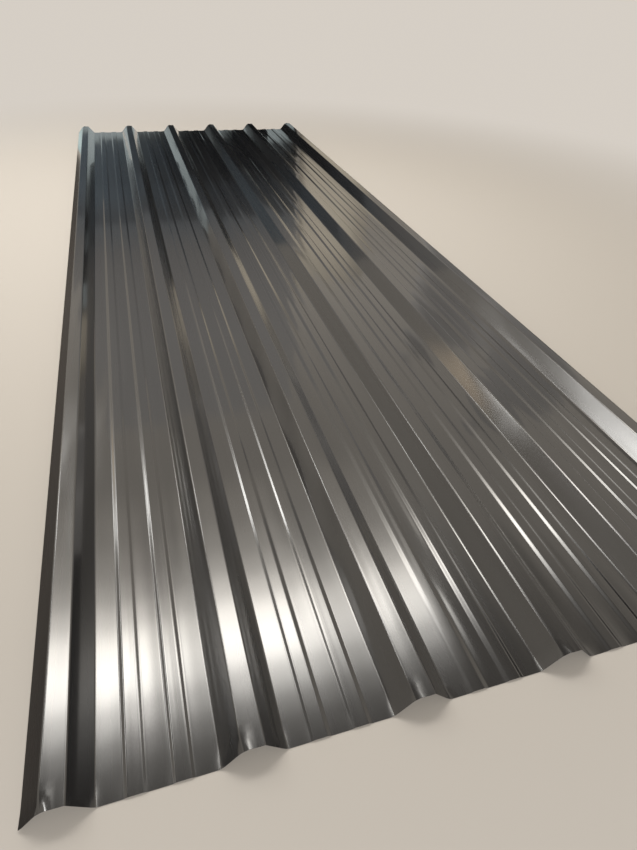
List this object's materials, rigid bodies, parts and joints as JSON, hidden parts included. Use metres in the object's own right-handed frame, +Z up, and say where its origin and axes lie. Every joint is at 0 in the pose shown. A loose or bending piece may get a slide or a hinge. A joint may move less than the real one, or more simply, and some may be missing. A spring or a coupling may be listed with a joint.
{
  "type": "corrugated metal sheet",
  "caption": "Long thin roofing sheet of painted steel with tall trapezoidal ribs along its length and shallow stiffeners in the flat pans between them.",
  "frame": {"origin": "on the floor under the middle of the sheet as it lies on its pans", "axes": "+Z up out of the ribs, +Y along the ribs, +X across them towards the edge with the bearing lip"},
  "size_m": [1.0969, 3, 0.0285],
  "materials": {
    "painted_steel": "glossy charcoal grey colour coat"
  },
  "bodies": {
    "root": {"corrugated_sheet": "painted_steel"}
  },
  "joints": []
}
